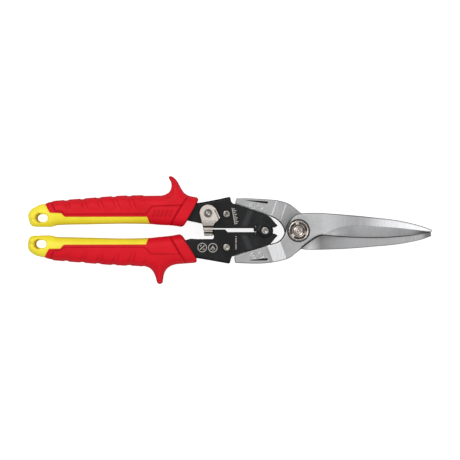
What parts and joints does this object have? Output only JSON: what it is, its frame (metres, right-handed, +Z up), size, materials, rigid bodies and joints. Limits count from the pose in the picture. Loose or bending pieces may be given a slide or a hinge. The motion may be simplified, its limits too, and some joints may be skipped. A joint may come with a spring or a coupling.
{
  "type": "aviation snips",
  "caption": "Long-cut straight aviation snips with a compound linkage, forged jaws, channel-steel handles, thumb latch and two-material grips with thumb horns.",
  "frame": {"origin": "centre of the pivot bolt head's flat face, on the jaw pivot axis, in the plane that the snips lie on", "axes": "+X from the jaw pivot to the blade tips, +Y towards the upper handle, +Z up to the side with the pivot nut and the latch"},
  "size_m": [0.2998, 0.0805, 0.02],
  "materials": {
    "forged_steel": "satin, bead blasted, ground along the cutting edges",
    "nickel_plate": "bright warm nickel plate",
    "rivet_steel": "satin",
    "spring_steel": "oiled",
    "black_steel": "satin black oxide",
    "red_grip": "satin moulded soft grip",
    "yellow_core": "satin moulded"
  },
  "bodies": {
    "lower_handle": {"lower_handle_frame": "black_steel", "lower_grip": "red_grip", "lower_grip_core": "yellow_core", "handle_pivot_rivet": "rivet_steel", "handle_pivot_bush": "spring_steel", "handle_spring": "spring_steel", "lower_arm_pin": "rivet_steel"},
    "upper_handle": {"upper_handle_frame": "black_steel", "upper_grip": "red_grip", "upper_grip_core": "yellow_core", "upper_arm_pin": "rivet_steel", "latch_rivet": "rivet_steel", "latch_spring_washer": "spring_steel"},
    "front_jaw": {"front_jaw": "forged_steel", "pivot_bolt": "nickel_plate", "pivot_nut": "nickel_plate", "pivot_spring_washer": "spring_steel", "pivot_head_washer": "spring_steel"},
    "rear_jaw": {"rear_jaw": "forged_steel"},
    "latch": {"latch": "nickel_plate"}
  },
  "joints": [
    {"name": "handle_hinge", "type": "hinge", "parent": "lower_handle", "child": "upper_handle", "pos_m": [-0.0248, 0, 0.01], "axis": [0, 0, -1], "range_deg": [0, 34]},
    {"name": "arm_hinge", "type": "hinge", "parent": "lower_handle", "child": "front_jaw", "pos_m": [-0.0532, -0.01235, 0.01], "axis": [0, 0, -1], "range_deg": [0, 8.4]},
    {"name": "jaw_hinge", "type": "hinge", "parent": "front_jaw", "child": "rear_jaw", "pos_m": [0, 0, 0.01], "axis": [0, 0, -1], "range_deg": [0, 17.3]},
    {"name": "latch_hinge", "type": "hinge", "parent": "upper_handle", "child": "latch", "pos_m": [-0.0667, 0.0128, 0.0168], "axis": [0, 0, -1], "range_deg": [0, 35]}
  ],
  "couplings": [
    {"joint": "arm_hinge", "follows": "handle_hinge", "ratio": 0.246},
    {"joint": "jaw_hinge", "follows": "handle_hinge", "ratio": 0.508}
  ]
}
